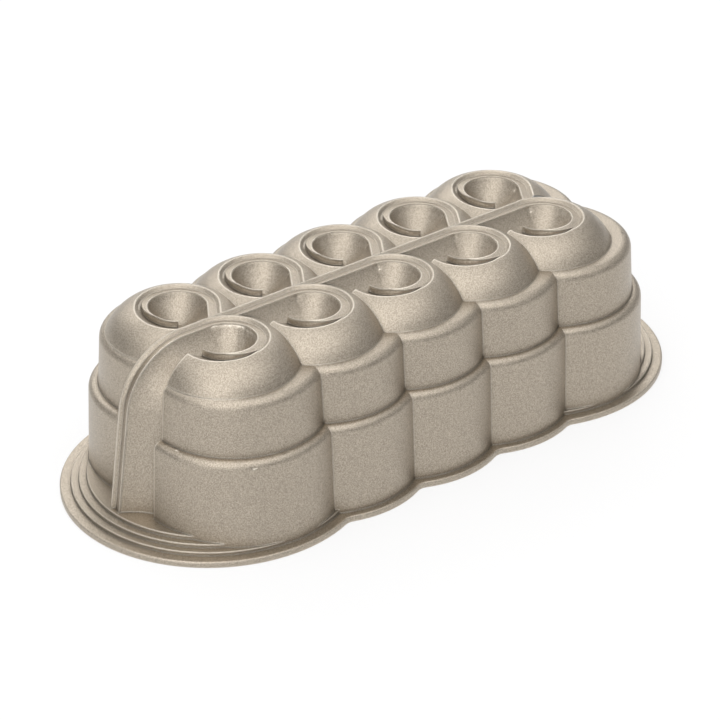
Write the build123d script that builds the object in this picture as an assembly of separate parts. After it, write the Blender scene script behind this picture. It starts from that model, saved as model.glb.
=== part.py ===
from build123d import *
import math
import os

# Loaf-shaped cake pan with ten swirled lobes in two rows, standing upside down on its rim.
# Millimetres. The origin is the middle of the rim's resting face, +Z is up, X runs along the pan.

# Walls and coats
cast_wall = 3.0            # aluminium between the two coats
coat = 0.2                 # each baked coat, thicker than a real one so that it meshes
rim_thickness = 2.6        # flange, measured down to the resting face
rim_edge_round = 0.8       # soft upper edge of the flange

# The two rows of lobes
lobes_per_row = 5
pitch = 43.0               # from lobe to lobe along the pan
row_offset = 17.4          # from the middle line to the axes of a row

# One lobe from the flange upwards
base_radius = 43.6         # lower tier at the resting face
lower_draft = 1.8          # how far the lower tier leans in on its way up
lower_tier_height = 43.2   # height of the lower ledge
lower_corner = 3.4         # rounding of the lower ledge
ledge_width = 4.2          # from the lower tier in to the foot of the upper tier
upper_draft = 1.4          # how far the upper tier leans in on its way up
shoulder_height = 68.0     # height of the shoulder's flat
shoulder_round = 4.2       # rounding of the shoulder
shoulder_width = 6.0       # from the upper tier in to the foot of the dome
buried_corner = 0.6        # least rounding of a ledge on the inner forms

# The swirl on top of a lobe, as a section turned about its own axis, heights above the shoulder
swirl_shift = 3.9          # swirl axis behind the lobe axis along the pan
eye_rise = -1.6            # deepest point of the eye
eye_sag = 1.5              # how far the eye's slope hollows
inner_crest_radius = 12.4  # crest around the eye
inner_crest_rise = 10.9
groove_radius = 15.9       # narrow groove beside the outer crest
groove_rise = 9.9
outer_crest_radius = 17.6  # outer crest, which the dome runs down from
outer_crest_rise = 11.4
dome_bulge = 1.7           # how far the dome swells outside a straight slope
swirl_depth = 21.0         # how far the swirl's solid is buried below the shoulder
eye_drop = 1.3             # how much further than the walls the eye's point moves with an inset
back_row_turn = 57.0       # the back row's swirls are mirrored and turned by this, in degrees

# The wide groove at a swirl's cut face, which runs out on the far side of the swirl
cut_groove_radius = 14.9   # ring of the groove's bottom
cut_groove_shift = 1.9     # from the swirl's axis to the ring's centre, away from the cut face
cut_groove_rise = 9.5      # middle of the ring above the shoulder
cut_groove_tilt = 9.3      # the ring is lowest at the cut face, in degrees
cut_groove_height = 6.0    # height of the groove's section
inner_flank_angle = 67.0   # steep flank beside the inner crest
outer_flank_angle = 36.5   # gentle flank beside the outer crest
cut_overrun = 10.0         # how far the groove runs past the cut face, in degrees

# The ribbon that leaves each front swirl, and the one that runs down the end
ribbon_side_slope = 4.0    # run of the ribbon's back flank
ribbon_lap = 0.6           # overlap of the flank with the swirl
bend_reach = 15.6          # from the first lobe's axis to the centre of the bend over the end
bend_radius = 30.9         # from the bend's centre to the outer crest
bend_angle = 82.0          # the ribbon then leans out by the rest of a right angle

# Flange
side_flange = 3.4          # width beside each lobe
end_flange = 4.4           # width past the lobes at the half-round ends
rim_valley_round = 6.0     # rounding between two scallops
terrace_count = 3          # steps of the plateau at each end
terrace_margin = 4.8       # from the flange's end to the lowest step
terrace_tread = 3.4        # from step to step
terrace_rise = 1.6

core_reach = 10.0          # how far the block behind the end ribbon runs past the bend's centre
core_drop = 10.0           # from the shoulder down to the top of that block
seam_lap = 1.0             # overlap of buried solids that meet side by side
eye_margin = 0.3           # how far a ribbon's end runs into the swirl before it

cut_depth = 6.0            # how far solids run below the resting face before they are trimmed

lower_tier_radius = base_radius - lower_draft
upper_foot_radius = lower_tier_radius - ledge_width
upper_tier_radius = upper_foot_radius - upper_draft
dome_foot_radius = upper_tier_radius - shoulder_width
eye_height = shoulder_height + eye_rise
inner_crest_height = shoulder_height + inner_crest_rise
groove_height = shoulder_height + groove_rise
outer_crest_height = shoulder_height + outer_crest_rise
swirl_floor = shoulder_height - swirl_depth
core_height = shoulder_height - core_drop
rim_lobe_radius = base_radius + side_flange
rim_end_radius = row_offset + base_radius + end_flange
lobe_xs = [pitch * (i - (lobes_per_row - 1) / 2) for i in range(lobes_per_row)]
ridge_y = outer_crest_radius - row_offset
bend_centre_x = lobe_xs[0] - bend_reach
bend_centre_z = outer_crest_height - bend_radius


def lobe_section(inset):
    """Half section of one lobe's two tiers, shrunk by the inset."""
    top_1 = lower_tier_height - inset
    top_2 = shoulder_height - inset
    round_1 = max(lower_corner - inset, buried_corner)
    round_2 = max(shoulder_round - inset, buried_corner)
    r_base = base_radius - inset
    r_low = lower_tier_radius - inset
    r_foot = upper_foot_radius - inset
    r_up = upper_tier_radius - inset
    k = math.sqrt(0.5)
    outline = Line((0, -cut_depth), (r_base, -cut_depth))
    outline += Line((r_base, -cut_depth), (r_base, 0))
    outline += Line((r_base, 0), (r_low, top_1 - round_1))
    mid_1 = (r_low - round_1 + k * round_1, top_1 - round_1 + k * round_1)
    outline += ThreePointArc((r_low, top_1 - round_1), mid_1, (r_low - round_1, top_1))
    if r_low - round_1 > r_foot:
        outline += Line((r_low - round_1, top_1), (r_foot, top_1))
    outline += Line((r_foot, top_1), (r_up, top_2 - round_2))
    mid_2 = (r_up - round_2 + k * round_2, top_2 - round_2 + k * round_2)
    outline += ThreePointArc((r_up, top_2 - round_2), mid_2, (r_up - round_2, top_2))
    outline += Line((r_up - round_2, top_2), (0, top_2))
    outline += Line((0, top_2), (0, -cut_depth))
    return Plane.XZ * make_face(outline)


def bulged(start, end, bulge):
    """Arc from start to end that swells to the left of the way by the bulge."""
    dx = end[0] - start[0]
    dz = end[1] - start[1]
    length = math.hypot(dx, dz)
    mid = ((start[0] + end[0]) / 2 - dz / length * bulge, (start[1] + end[1]) / 2 + dx / length * bulge)
    return ThreePointArc(start, mid, end)


def crest_points(inset):
    """Eye, inner crest, groove and outer crest as radius and height, moved in by the inset."""
    eye = (0, eye_height - eye_drop * inset)
    inner = (inner_crest_radius, inner_crest_height - inset)
    groove = (groove_radius, groove_height - inset)
    outer = (outer_crest_radius, outer_crest_height - inset)
    return eye, inner, groove, outer


def track_section(inset, lap, foot_radius, bulge, floor):
    """Half section from the eye over both crests to the foot, with a flat of the lap before the eye."""
    eye, inner, groove, outer = crest_points(inset)
    foot = (foot_radius - inset, shoulder_height - inset)
    outline = Line((-lap, floor), (-lap, eye[1]))
    if lap > 0:
        outline += Line((-lap, eye[1]), eye)
    outline += bulged(eye, inner, -eye_sag)
    outline += Line(inner, groove)
    outline += Line(groove, outer)
    outline += bulged(outer, foot, bulge) if bulge > 0 else Line(outer, foot)
    outline += Line(foot, (foot[0], floor))
    outline += Line((foot[0], floor), (-lap, floor))
    return Plane.XZ * make_face(outline)


def dome_section(inset, lap):
    """Section with the dome's full outer slope."""
    return track_section(inset, lap, dome_foot_radius, dome_bulge, swirl_floor)


def ribbon_section(inset, floor):
    """Section of the front ribbon, which has a steep back flank."""
    return track_section(inset, inset, outer_crest_radius + ribbon_side_slope, 0, floor)


def lobe_tiers(x, y, inset):
    """Both tiers of one lobe."""
    return Pos(x, y, 0) * revolve(lobe_section(inset), Axis.Z, 360)


def cut_groove(inset):
    """Ring of a lopsided V, tilted so that it is deepest at the cut face and leaves the far side whole."""
    inner_run = cut_groove_height / math.tan(math.radians(inner_flank_angle))
    outer_run = cut_groove_height / math.tan(math.radians(outer_flank_angle))
    bottom = (cut_groove_radius, 0)
    inner_top = (cut_groove_radius - inner_run, cut_groove_height)
    outer_top = (cut_groove_radius + outer_run, cut_groove_height)
    section = Plane.XZ * make_face(Polyline(bottom, inner_top, outer_top, bottom))
    ring = revolve(Rot(0, 0, 180 - cut_overrun) * section, Axis.Z, 180 + cut_overrun)
    middle = shoulder_height + cut_groove_rise - inset
    return Pos(cut_groove_shift, 0, middle) * Rot(0, -cut_groove_tilt, 0) * ring


def swirl_turn(inset):
    """Three quarters of a turn of the swirl about the Z axis, from its cut face to its ribbon."""
    turn = revolve(Rot(0, 0, 180) * dome_section(inset, 0), Axis.Z, 270) - cut_groove(inset)
    if inset > 0:
        turn -= Pos(0, -inset, 0) * Box(
            2 * pitch, 2 * pitch, 4 * pitch, align=(Align.MAX, Align.MIN, Align.CENTER))
    return turn


def straight_run(section, length):
    """A section of the swirl carried on from the Z axis, towards -X."""
    return extrude(Rot(0, 0, 90) * section, length, dir=(-1, 0, 0))


def front_swirl(x, inset):
    """A swirl of the front row, trimmed along its ribbon's ridge."""
    placed = Pos(x - swirl_shift, -row_offset, 0) * swirl_turn(inset)
    keep = Pos(x, ridge_y + ribbon_lap - inset, 0) * Box(
        4 * pitch, 4 * pitch, 4 * pitch, align=(Align.CENTER, Align.MAX, Align.CENTER))
    return placed & keep


def front_ribbon(x, length, inset):
    """The straight run of a front swirl's ribbon."""
    run = straight_run(ribbon_section(inset, swirl_floor), length)
    return Pos(x - swirl_shift, -row_offset, 0) * run


def joining_ribbon(before, x, inset):
    """The ribbon of a front swirl, up to the outer crest of the swirl before it."""
    swirl_before = Pos(before - swirl_shift, -row_offset, 0) * Cylinder(
        outer_crest_radius - eye_margin, 4 * pitch)
    return front_ribbon(x, x - before - eye_margin, inset) - swirl_before


def back_swirl(x, inset):
    """A swirl of the back row: mirrored, turned, and trimmed where the front ribbon lies over it."""
    swirl = swirl_turn(inset) + straight_run(dome_section(inset, inset), pitch)
    placed = Pos(x - swirl_shift, row_offset, 0) * Rot(0, 0, back_row_turn) * mirror(swirl, Plane.XZ)
    keep = Pos(x, ridge_y - inset, 0) * Box(
        4 * pitch, 4 * pitch, 4 * pitch, align=(Align.CENTER, Align.MIN, Align.CENTER))
    return placed & keep


def end_ribbon(inset):
    """The first front ribbon carried on over the end of the pan and down to the flange."""
    start_x = lobe_xs[0] - swirl_shift
    straight = front_ribbon(lobe_xs[0], start_x - bend_centre_x, inset)
    section = Rot(0, 0, 90) * ribbon_section(inset, bend_centre_z)
    placed = Pos(bend_centre_x, -row_offset, 0) * section
    bend_axis = Axis((bend_centre_x, 0, bend_centre_z), (0, -1, 0))
    bend = revolve(placed, bend_axis, bend_angle)
    lean = math.radians(bend_angle)
    way = (-math.cos(lean), 0, -math.sin(lean))
    leg_length = (bend_centre_z + cut_depth) / math.sin(lean)
    leg = extrude(placed.rotate(bend_axis, bend_angle), leg_length, dir=way)
    return [straight, bend, leg]


def end_core(inset):
    """Plain block behind the end ribbon, where the first front lobe is cut away."""
    x_low = bend_centre_x - core_reach
    y_low = -row_offset - inset - seam_lap
    return Pos(x_low, y_low, -cut_depth) * Box(
        lobe_xs[0] - x_low + seam_lap,
        row_offset,
        core_height - inset + cut_depth,
        align=(Align.MIN, Align.MIN, Align.MIN))


def first_front_tiers(inset):
    """The first front lobe, without the quarter that the ribbon takes."""
    quarter = Pos(lobe_xs[0], -row_offset - inset, 0) * Box(
        2 * base_radius, 2 * base_radius, 4 * pitch, align=(Align.MAX, Align.MIN, Align.CENTER))
    return lobe_tiers(lobe_xs[0], -row_offset, inset) - quarter


def terraces(inset):
    """The stepped plateau at each end of the flange."""
    steps = []
    for end in (-1, 1):
        for level in range(terrace_count):
            radius = rim_end_radius - terrace_margin - level * terrace_tread
            top = rim_thickness + (level + 1) * terrace_rise - inset
            disc = Pos(end * lobe_xs[-1], 0, -cut_depth) * Cylinder(
                radius - inset, top + cut_depth, align=(Align.CENTER, Align.CENTER, Align.MIN))
            steps.append(disc)
    return steps


def solids_of(pieces):
    """Every solid of the pieces, in order."""
    return [solid for piece in pieces for solid in piece.solids()]


def fused(groups):
    """One solid from groups of pieces, joined group by group."""
    first, *others = solids_of(groups[0])
    whole = first.fuse(*others)
    for group in groups[1:]:
        whole = whole.fuse(*solids_of(group))
    return whole


def body(inset):
    """The pan's body without its flange, shrunk by the inset."""
    front_tiers = [first_front_tiers(inset), end_core(inset)]
    front_tiers += [lobe_tiers(x, -row_offset, inset) for x in lobe_xs[1:]]
    back_tiers = [lobe_tiers(x, row_offset, inset) for x in lobe_xs]
    front_swirls = [front_swirl(x, inset) for x in lobe_xs]
    back_swirls = [back_swirl(x, inset) for x in lobe_xs]
    ribbons = [joining_ribbon(before, x, inset) for before, x in zip(lobe_xs, lobe_xs[1:])]
    return fused([
        front_tiers, back_tiers, terraces(inset), end_ribbon(inset), front_swirls, ribbons, back_swirls])


def flange(inset):
    """Flat flange with a scallop beside each lobe and half-round ends."""
    outline = Rectangle(2 * lobe_xs[-1], 2 * row_offset)
    for x in lobe_xs:
        for y in (-row_offset, row_offset):
            outline += Pos(x, y) * Circle(rim_lobe_radius - inset)
    for x in (lobe_xs[0], lobe_xs[-1]):
        outline += Pos(x, 0) * Circle(rim_end_radius - inset)
    outline = fillet(outline.vertices(), rim_valley_round + inset)
    plate = extrude(outline, rim_thickness - inset)
    upper_edges = plate.faces().sort_by(Axis.Z)[-1].edges()
    return fillet(upper_edges, rim_edge_round - inset)


def above_rest(shape):
    """The part of a shape above the resting face."""
    room = 8 * pitch
    return shape & Box(room, room, room, align=(Align.CENTER, Align.CENTER, Align.MIN))


def nested_forms():
    """The four nested solids whose differences are the coating, the casting and the lining."""
    outside = above_rest(fused([[body(0)], [flange(0)]]))
    metal = above_rest(fused([[body(coat)], [flange(coat)]]))
    cavity = body(coat + cast_wall)
    filled = body(coat + cast_wall + coat)
    return outside, metal, cavity, filled


if __name__ == "__main__":
    os.makedirs("parts", exist_ok=True)
    outside, metal, cavity, filled = nested_forms()
    export_step(outside - metal, "parts/outer_coating.step")
    export_step(metal - cavity, "parts/cast_body.step")
    export_step(above_rest(cavity - filled), "parts/nonstick_lining.step")
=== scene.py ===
"""Finishes and stage for a cast loaf cake pan with two rows of swirled lobes.

The pan stands upside down on its flange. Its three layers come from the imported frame:
the casting, the champagne coat outside and the release coat inside.
"""

import math

import bpy
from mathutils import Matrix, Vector

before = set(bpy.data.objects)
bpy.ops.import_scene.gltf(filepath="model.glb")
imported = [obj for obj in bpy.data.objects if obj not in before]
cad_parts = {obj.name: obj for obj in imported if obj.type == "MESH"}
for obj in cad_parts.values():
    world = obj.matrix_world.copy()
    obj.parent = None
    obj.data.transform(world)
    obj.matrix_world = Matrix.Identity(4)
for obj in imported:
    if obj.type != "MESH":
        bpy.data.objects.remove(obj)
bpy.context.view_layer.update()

bl_info = {
    "name": "Swirled Loaf Pan",
    "version": (1, 0, 0),
    "blender": (4, 5, 0),
    "location": "3D View > Sidebar > Loaf Pan",
    "description": "Finishes and studio for a cast loaf pan with swirled lobes",
    "category": "Object",
}

MM = 0.001

# Sockets of a Mix node: its factor, its two colours, and the colour that comes out.
MIX_FACTOR, MIX_LOW, MIX_HIGH, MIX_RESULT = 0, 6, 7, 2
# Rays sent from each point to round an edge or to find the walls near it.
NEARBY_RAYS = 6

# Where a mask starts and where it is full. An edge goes by how far the rounded normal has turned
# from the surface's own, as 1 less their cosine. Creases and hollows go by the share of the air
# that the walls near the point take up.
EDGE_TURN = (0.012, 0.08)
CREASE_SHARE = (0.12, 0.55)
HOLLOW_SHARE = (0.25, 0.75)

# Champagne coat: a fine grain with a little coarser grain in it.
COAT_METALLIC = 0.9
COARSE_RATIO = 2.2
FINE_WEIGHT, COARSE_WEIGHT = 0.88, 0.12
GRAIN_CRISPNESS = 0.8
GRAIN_TONES = (0.40, 0.60)
GRAIN_RELIEF = 0.12 * MM
# Painted highlight: share of the pale edge colour laid on raised edges.
EDGE_HIGHLIGHT_SHARE = 0.9
EDGE_POLISH = 0.05
# Painted shade: shares of the dark colour laid in creases and in hollows.
CREASE_SHADE_SHARE = 0.8
HOLLOW_SHADE_SHARE = 0.45
COAT_ROUGHNESS_SPREAD = 0.2

# Release coat: a faint orange-peel under soft clouds of tone.
LINING_METALLIC = 0.25
LINING_ROUGHNESS = 0.36
LINING_ROUGHNESS_SPREAD = 0.14
PEEL_SIZE = 1.6 * MM
PEEL_RELIEF = 0.05 * MM
PEEL_STRENGTH = 0.5
CLOUD_SIZE = 18.0 * MM
CLOUD_TONES = (0.3, 0.7)

# Bare metal: linishing marks, drawn out along the pan.
METAL_METALLIC = 1.0
METAL_ROUGHNESS = 0.34
METAL_ROUGHNESS_SPREAD = 0.3
MARK_SIZE = 0.5 * MM
MARK_STRETCH = (0.04, 1.0, 1.0)
MARK_CRISPNESS = 0.7
MARK_TONES = (0.35, 0.65)
MARK_RELIEF = 0.03 * MM
MARK_STRENGTH = 0.4

# Studio, in metres. Each lamp has its name, place, size and the studio's value for its power.
WHITE = (1, 1, 1, 1)
FLOOR_HALF = 6.0
FLOOR_TONE = (0.86, 0.86, 0.86, 1)
FLOOR_WHITE_SHARE = 0.72
SKY_TOP = 0.9
LAMP_TARGET = (0.0, 0.0, 0.04)
LAMPS = (
    ("key_lamp", (-0.25, -0.3, 1.2), (2.0, 1.6), "key_power"),
    ("fill_lamp", (-1.1, -0.7, 0.6), (0.9, 0.9), "fill_power"),
    ("back_lamp", (0.5, 1.1, 0.8), (1.8, 0.8), "back_power"),
)
SENSOR_WIDTH_MM = 36.0
FAR_CLIP = 20.0


class Shade:
    """A socket in a material's node tree, for sums written as Python expressions."""

    def __init__(self, tree, socket):
        self.tree = tree
        self.socket = socket

    def math(self, operation, left, right):
        return self.node("ShaderNodeMath", {"operation": operation}, {0: left, 1: right})

    def node(self, kind, settings=None, inputs=None, output=0):
        """Adds a node of any kind: its settings first, then its sockets' values or links."""
        made = self.tree.nodes.new(kind)
        for name, value in (settings or {}).items():
            if name == "stops":
                fill_ramp(made.color_ramp, value)
            else:
                setattr(made, name, value)
        for name, value in (inputs or {}).items():
            if isinstance(value, Shade):
                self.tree.links.new(value.socket, made.inputs[name])
            else:
                made.inputs[name].default_value = value
        return Shade(self.tree, made.outputs[output])

    def __add__(self, other):
        return self.math("ADD", self, other)

    def __radd__(self, other):
        return self.math("ADD", other, self)

    def __sub__(self, other):
        return self.math("SUBTRACT", self, other)

    def __rsub__(self, other):
        return self.math("SUBTRACT", other, self)

    def __mul__(self, other):
        return self.math("MULTIPLY", self, other)

    def __rmul__(self, other):
        return self.math("MULTIPLY", other, self)


def fill_ramp(ramp, stops):
    """Sets a colour ramp's stops from (position, colour) pairs."""
    while len(ramp.elements) < len(stops):
        ramp.elements.new(1.0)
    for element, (position, colour) in zip(ramp.elements, stops):
        element.position = position
        element.color = (*colour, 1.0)


def new_material(name):
    """An empty node material, its node tree and its output node."""
    material = bpy.data.materials.new(name)
    material.use_nodes = True
    tree = material.node_tree
    tree.nodes.clear()
    output = tree.nodes.new("ShaderNodeOutputMaterial")
    return material, tree, output


def surface(tree, output, constants, links):
    """A Principled surface with constant sockets and linked sockets."""
    shader = tree.nodes.new("ShaderNodeBsdfPrincipled")
    for name, value in constants.items():
        shader.inputs[name].default_value = value
    for name, value in links.items():
        tree.links.new(value.socket, shader.inputs[name])
    tree.links.new(shader.outputs["BSDF"], output.inputs["Surface"])


def object_place(tree):
    """Object coordinates, the way that every pattern on the pan is laid out."""
    node = tree.nodes.new("ShaderNodeTexCoord")
    return Shade(tree, node.outputs["Object"])


def noise(place, size, detail=2.0, roughness=0.5):
    """Noise whose grains are about the size across."""
    inputs = {"Vector": place, "Scale": 1 / size, "Detail": detail, "Roughness": roughness}
    return place.node("ShaderNodeTexNoise", {}, inputs)


def spread(value, ends):
    """The value between the two ends, stretched to run from 0 to 1 and held there."""
    low, high = ends
    inputs = {"Value": value, "From Min": low, "From Max": high}
    return value.node("ShaderNodeMapRange", {}, inputs)


def tinted(factor, low, high):
    """A colour between low and high by the factor."""
    return factor.node("ShaderNodeValToRGB", {"stops": [(0.0, low), (1.0, high)]}, {"Fac": factor})


def mixed(factor, low, high):
    """The low colour, turned towards the plain high one by the factor."""
    inputs = {MIX_FACTOR: factor, MIX_LOW: low, MIX_HIGH: (*high, 1.0)}
    return factor.node("ShaderNodeMix", {"data_type": "RGBA"}, inputs, output=MIX_RESULT)


def soft_edges(root, radius):
    """Shading normal that rounds sharp edges, as the coat does."""
    return root.node("ShaderNodeBevel", {"samples": NEARBY_RAYS}, {"Radius": radius})


def bumped(height, distance, strength, normal):
    """Bump of the height on top of a normal."""
    inputs = {"Height": height, "Distance": distance, "Strength": strength, "Normal": normal}
    return height.node("ShaderNodeBump", {}, inputs)


def walled(root, reach):
    """Share of the air round a point that the piece's own walls take up, within the reach."""
    settings = {"samples": NEARBY_RAYS, "only_local": True}
    open_air = root.node("ShaderNodeAmbientOcclusion", settings, {"Distance": reach}, output=1)
    return 1 - open_air


def edge_masks(root, radius, reach):
    """Masks of the raised edges and of the creases, each 0 on plain surface and 1 on the line.

    A raised edge is where the rounded normal leaves the surface's own while the place is open to
    the air. A crease is where walls within the reach take the air away.
    """
    own = root.tree.nodes.new("ShaderNodeNewGeometry")
    normals = {0: soft_edges(root, radius), 1: Shade(root.tree, own.outputs["Normal"])}
    alike = root.node("ShaderNodeVectorMath", {"operation": "DOT_PRODUCT"}, normals, output=1)
    bent = spread(1 - alike, EDGE_TURN)
    crease = spread(walled(root, reach), CREASE_SHARE)
    return bent * (1 - crease), crease


def champagne_coat(look):
    """Satin champagne coat over a fine blasted grain.

    It has a painted highlight on raised edges, and painted shade in creases and in hollows.
    """
    material, tree, output = new_material("champagne_coat")
    place = object_place(tree)
    grain = noise(place, look.grain_size, roughness=GRAIN_CRISPNESS)
    coarse = noise(place, look.grain_size * COARSE_RATIO, detail=1.0)
    speckle = grain * FINE_WEIGHT + coarse * COARSE_WEIGHT
    edge, crease = edge_masks(place, look.edge_round, look.crease_reach)
    hollow = spread(walled(place, look.hollow_reach), HOLLOW_SHARE)
    body = tinted(spread(speckle, GRAIN_TONES), look.coat_dark, look.coat_light)
    # Painted highlight: raised edges turned towards a pale colour.
    with_edge_highlight = mixed(edge * EDGE_HIGHLIGHT_SHARE, body, look.edge_highlight_tone)
    # Painted shade: creases and hollows turned towards a dark colour.
    shade_mask = place.math("MAXIMUM", crease * CREASE_SHADE_SHARE, hollow * HOLLOW_SHADE_SHARE)
    colour = mixed(shade_mask, with_edge_highlight, look.painted_shade_tone)
    roughness = look.coat_roughness + (coarse - 0.5) * COAT_ROUGHNESS_SPREAD - edge * EDGE_POLISH
    rounded = soft_edges(place, look.edge_round)
    normal = bumped(speckle, GRAIN_RELIEF, look.grain_depth, rounded)
    surface(tree, output, {"Metallic": COAT_METALLIC}, {
        "Base Color": colour, "Roughness": roughness, "Normal": normal})
    return material


def release_coat(look):
    """Smooth dark release coat of the inside, with a faint orange-peel."""
    material, tree, output = new_material("release_coat")
    place = object_place(tree)
    peel = noise(place, PEEL_SIZE)
    cloud = noise(place, CLOUD_SIZE, detail=3.0)
    colour = tinted(spread(cloud, CLOUD_TONES), look.lining_dark, look.lining_light)
    roughness = LINING_ROUGHNESS + (peel - 0.5) * LINING_ROUGHNESS_SPREAD
    rounded = soft_edges(place, look.edge_round)
    normal = bumped(peel, PEEL_RELIEF, PEEL_STRENGTH, rounded)
    surface(tree, output, {"Metallic": LINING_METALLIC}, {
        "Base Color": colour, "Roughness": roughness, "Normal": normal})
    return material


def bare_casting(look):
    """Bare aluminium with fine linishing marks along the pan, which shows on the resting face."""
    material, tree, output = new_material("bare_casting")
    place = object_place(tree)
    stretched = place.node("ShaderNodeMapping", {}, {"Vector": place, "Scale": MARK_STRETCH})
    marks = noise(stretched, MARK_SIZE, detail=3.0, roughness=MARK_CRISPNESS)
    colour = tinted(spread(marks, MARK_TONES), look.metal_dark, look.metal_light)
    roughness = METAL_ROUGHNESS + (marks - 0.5) * METAL_ROUGHNESS_SPREAD
    rounded = soft_edges(place, look.edge_round)
    normal = bumped(marks, MARK_RELIEF, MARK_STRENGTH, rounded)
    surface(tree, output, {"Metallic": METAL_METALLIC}, {
        "Base Color": colour, "Roughness": roughness, "Normal": normal})
    return material


def dress(node, material):
    """Gives a node of the frame its finish."""
    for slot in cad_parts[node].material_slots:
        slot.material = material


class PanLook(bpy.types.PropertyGroup):
    """Colours and grain of the pan's three layers."""

    coat_light: bpy.props.FloatVectorProperty(
        name="Coat light", description="Champagne coat on the grain's tops",
        subtype="COLOR", size=3, min=0, max=1, default=(0.54, 0.472, 0.386))
    coat_dark: bpy.props.FloatVectorProperty(
        name="Coat dark", description="Champagne coat in the grain's pores",
        subtype="COLOR", size=3, min=0, max=1, default=(0.31, 0.268, 0.215))
    # Painted highlight colour laid along raised edges.
    edge_highlight_tone: bpy.props.FloatVectorProperty(
        name="Edge tone", description="Champagne coat along raised edges",
        subtype="COLOR", size=3, min=0, max=1, default=(0.90, 0.83, 0.72))
    # Painted shade colour laid in creases and hollows.
    painted_shade_tone: bpy.props.FloatVectorProperty(
        name="Crease tone", description="Champagne coat down in creases and hollows",
        subtype="COLOR", size=3, min=0, max=1, default=(0.13, 0.105, 0.075))
    # Reaches of the walls that bring painted shade into creases and hollows.
    crease_reach: bpy.props.FloatProperty(
        name="Crease reach", description="How near a wall has to be to shade a crease",
        unit="LENGTH", min=0, max=0.02, default=2.2 * MM)
    hollow_reach: bpy.props.FloatProperty(
        name="Hollow reach", description="How near a wall has to be to shade a hollow",
        unit="LENGTH", min=0, max=0.05, default=11.0 * MM)
    grain_size: bpy.props.FloatProperty(
        name="Grain size", description="Width of one grain of the outer coat",
        unit="LENGTH", min=0.0002, max=0.005, default=0.46 * MM)
    grain_depth: bpy.props.FloatProperty(
        name="Grain depth", description="How strongly the grain breaks the light",
        min=0, max=2, default=1.3)
    coat_roughness: bpy.props.FloatProperty(
        name="Coat roughness", description="Mean roughness of the champagne coat",
        subtype="FACTOR", min=0, max=1, default=0.37)
    edge_round: bpy.props.FloatProperty(
        name="Edge rounding", description="Radius that the coat leaves on edges",
        unit="LENGTH", min=0, max=0.005, default=0.9 * MM)
    lining_light: bpy.props.FloatVectorProperty(
        name="Lining light", description="Lighter tone of the release coat",
        subtype="COLOR", size=3, min=0, max=1, default=(0.085, 0.078, 0.070))
    lining_dark: bpy.props.FloatVectorProperty(
        name="Lining dark", description="Darker tone of the release coat",
        subtype="COLOR", size=3, min=0, max=1, default=(0.058, 0.053, 0.047))
    metal_light: bpy.props.FloatVectorProperty(
        name="Metal light", description="Lighter tone of the bare metal",
        subtype="COLOR", size=3, min=0, max=1, default=(0.70, 0.69, 0.67))
    metal_dark: bpy.props.FloatVectorProperty(
        name="Metal dark", description="Darker tone of the bare metal",
        subtype="COLOR", size=3, min=0, max=1, default=(0.55, 0.54, 0.52))


class PanStudio(bpy.types.PropertyGroup):
    """Camera and lamps of the studio."""

    azimuth: bpy.props.FloatProperty(
        name="Azimuth", description="Turn of the view about the upright axis, in degrees",
        default=-38.6)
    elevation: bpy.props.FloatProperty(
        name="Elevation", description="Height of the view above the horizon, in degrees",
        default=30.22)
    distance: bpy.props.FloatProperty(
        name="Distance", description="From the point looked at to the lens", unit="LENGTH",
        default=1.1991)
    lens: bpy.props.FloatProperty(
        name="Lens", description="Focal length on a 36 mm wide sensor, in millimetres",
        default=135.8)
    aim: bpy.props.FloatVectorProperty(
        name="Aim", description="Point that the camera looks at", subtype="TRANSLATION", size=3,
        default=(0.00318, 0.01286, 0.02084))
    key_power: bpy.props.FloatProperty(
        name="Key power", description="Key lamp, in watts", default=10.0)
    fill_power: bpy.props.FloatProperty(
        name="Fill power", description="Fill lamp, in watts", default=5.0)
    back_power: bpy.props.FloatProperty(
        name="Back power", description="Lamp behind, in watts", default=8.0)
    sky_low: bpy.props.FloatProperty(
        name="Low sky", description="Soft light from the horizon", default=0.2)
    sky_high: bpy.props.FloatProperty(
        name="High sky", description="Soft light from overhead", default=0.85)


class PAN_OT_outer_coat(bpy.types.Operator):
    """Dress the outside in its champagne coat"""

    bl_idname = "loaf_pan.outer_coat"
    bl_label = "Outer coat"

    def execute(self, context):
        dress("outer_coating", champagne_coat(context.scene.pan_look))
        return {"FINISHED"}


class PAN_OT_lining(bpy.types.Operator):
    """Dress the inside in its release coat"""

    bl_idname = "loaf_pan.lining"
    bl_label = "Lining"

    def execute(self, context):
        dress("nonstick_lining", release_coat(context.scene.pan_look))
        return {"FINISHED"}


class PAN_OT_casting(bpy.types.Operator):
    """Dress the casting in bare metal"""

    bl_idname = "loaf_pan.casting"
    bl_label = "Casting"

    def execute(self, context):
        dress("cast_body", bare_casting(context.scene.pan_look))
        return {"FINISHED"}


def add_floor():
    """Pale floor, nearly white to the camera and in gloss, which keeps the soft shadow."""
    half = FLOOR_HALF
    corners = [(-half, -half, 0), (half, -half, 0), (half, half, 0), (-half, half, 0)]
    mesh = bpy.data.meshes.new("studio_floor")
    mesh.from_pydata(corners, [], [(0, 1, 2, 3)])
    floor = bpy.data.objects.new("studio_floor", mesh)
    bpy.context.collection.objects.link(floor)
    material, tree, output = new_material("studio_white")
    ray = tree.nodes.new("ShaderNodeLightPath")
    camera_ray = Shade(tree, ray.outputs["Is Camera Ray"])
    glossy_ray = Shade(tree, ray.outputs["Is Glossy Ray"])
    through_ray = Shade(tree, ray.outputs["Is Transmission Ray"])
    seen = (camera_ray + glossy_ray + through_ray) * FLOOR_WHITE_SHARE
    matt = camera_ray.node("ShaderNodeBsdfDiffuse", {}, {"Color": FLOOR_TONE})
    glow = camera_ray.node("ShaderNodeEmission", {}, {"Color": WHITE, "Strength": 1.0})
    face = camera_ray.node("ShaderNodeMixShader", {}, {0: seen, 1: matt, 2: glow})
    tree.links.new(face.socket, output.inputs["Surface"])
    mesh.materials.append(material)


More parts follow.
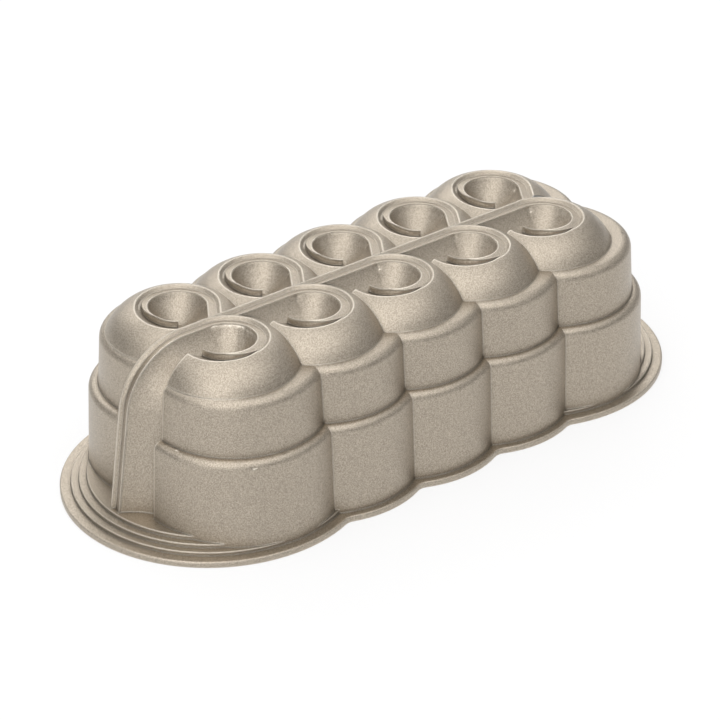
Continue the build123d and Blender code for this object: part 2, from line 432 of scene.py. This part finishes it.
def add_sky(low, high):
    """Soft light all round, dimmer at the horizon than overhead, white to the camera alone."""
    world = bpy.data.worlds.new("studio_sky")
    bpy.context.scene.world = world
    world.use_nodes = True
    tree = world.node_tree
    tree.nodes.clear()
    output = tree.nodes.new("ShaderNodeOutputWorld")
    ray = tree.nodes.new("ShaderNodeLightPath")
    camera_ray = Shade(tree, ray.outputs["Is Camera Ray"])
    way = Shade(tree, tree.nodes.new("ShaderNodeTexCoord").outputs["Generated"])
    height = way.node("ShaderNodeSeparateXYZ", {}, {0: way}, output=2)
    level = height.node("ShaderNodeMapRange", {}, {
        "Value": height, "From Min": 0.0, "From Max": SKY_TOP, "To Min": low, "To Max": high})
    strength = level + camera_ray * (1.0 - level)
    glow = strength.node("ShaderNodeBackground", {}, {"Color": WHITE, "Strength": strength})
    tree.links.new(glow.socket, output.inputs["Surface"])


def add_lamp(name, place, target, size, power):
    """A rectangular area lamp at a place, turned to the target."""
    data = bpy.data.lights.new(name, "AREA")
    data.shape = "RECTANGLE"
    data.size, data.size_y = size
    data.energy = power
    lamp = bpy.data.objects.new(name, data)
    lamp.location = place
    lamp.rotation_euler = (Vector(place) - Vector(target)).to_track_quat("Z", "Y").to_euler()
    bpy.context.collection.objects.link(lamp)


def add_camera(studio):
    """Camera on the photograph's line of sight."""
    turn = math.radians(studio.azimuth)
    rise = math.radians(studio.elevation)
    level = math.cos(rise)
    back = Vector((math.sin(turn) * level, -math.cos(turn) * level, math.sin(rise)))
    data = bpy.data.cameras.new("photo_view")
    data.sensor_width = SENSOR_WIDTH_MM
    data.lens = studio.lens
    data.clip_end = FAR_CLIP
    camera = bpy.data.objects.new("photo_view", data)
    camera.location = Vector(studio.aim) + back * studio.distance
    camera.rotation_euler = back.to_track_quat("Z", "Y").to_euler()
    bpy.context.collection.objects.link(camera)
    bpy.context.scene.camera = camera


class PAN_OT_stage(bpy.types.Operator):
    """Set the floor, the sky, the lamps and the camera"""

    bl_idname = "loaf_pan.stage"
    bl_label = "Stage"

    def execute(self, context):
        studio = context.scene.pan_studio
        add_floor()
        add_sky(studio.sky_low, studio.sky_high)
        for name, place, size, power in LAMPS:
            add_lamp(name, place, LAMP_TARGET, size, getattr(studio, power))
        add_camera(studio)
        context.scene.view_settings.view_transform = "Standard"
        return {"FINISHED"}


class PAN_PT_panel(bpy.types.Panel):
    """Sidebar panel with the pan's steps and sizes"""

    bl_idname = "PAN_PT_panel"
    bl_label = "Loaf Pan"
    bl_space_type = "VIEW_3D"
    bl_region_type = "UI"
    bl_category = "Loaf Pan"

    def draw(self, context):
        for step in STEPS:
            self.layout.operator(step.bl_idname)
        for group in (context.scene.pan_look, context.scene.pan_studio):
            for name in group.__annotations__:
                self.layout.prop(group, name)


STEPS = (PAN_OT_outer_coat, PAN_OT_lining, PAN_OT_casting, PAN_OT_stage)
CLASSES = (PanLook, PanStudio, *STEPS, PAN_PT_panel)


def register():
    for cls in CLASSES:
        bpy.utils.register_class(cls)
    bpy.types.Scene.pan_look = bpy.props.PointerProperty(type=PanLook)
    bpy.types.Scene.pan_studio = bpy.props.PointerProperty(type=PanStudio)


def unregister():
    del bpy.types.Scene.pan_look
    del bpy.types.Scene.pan_studio
    for cls in reversed(CLASSES):
        bpy.utils.unregister_class(cls)


def main():
    register()
    bpy.ops.loaf_pan.outer_coat()
    bpy.ops.loaf_pan.lining()
    bpy.ops.loaf_pan.casting()
    bpy.ops.loaf_pan.stage()


if __name__ == "__main__":
    main()
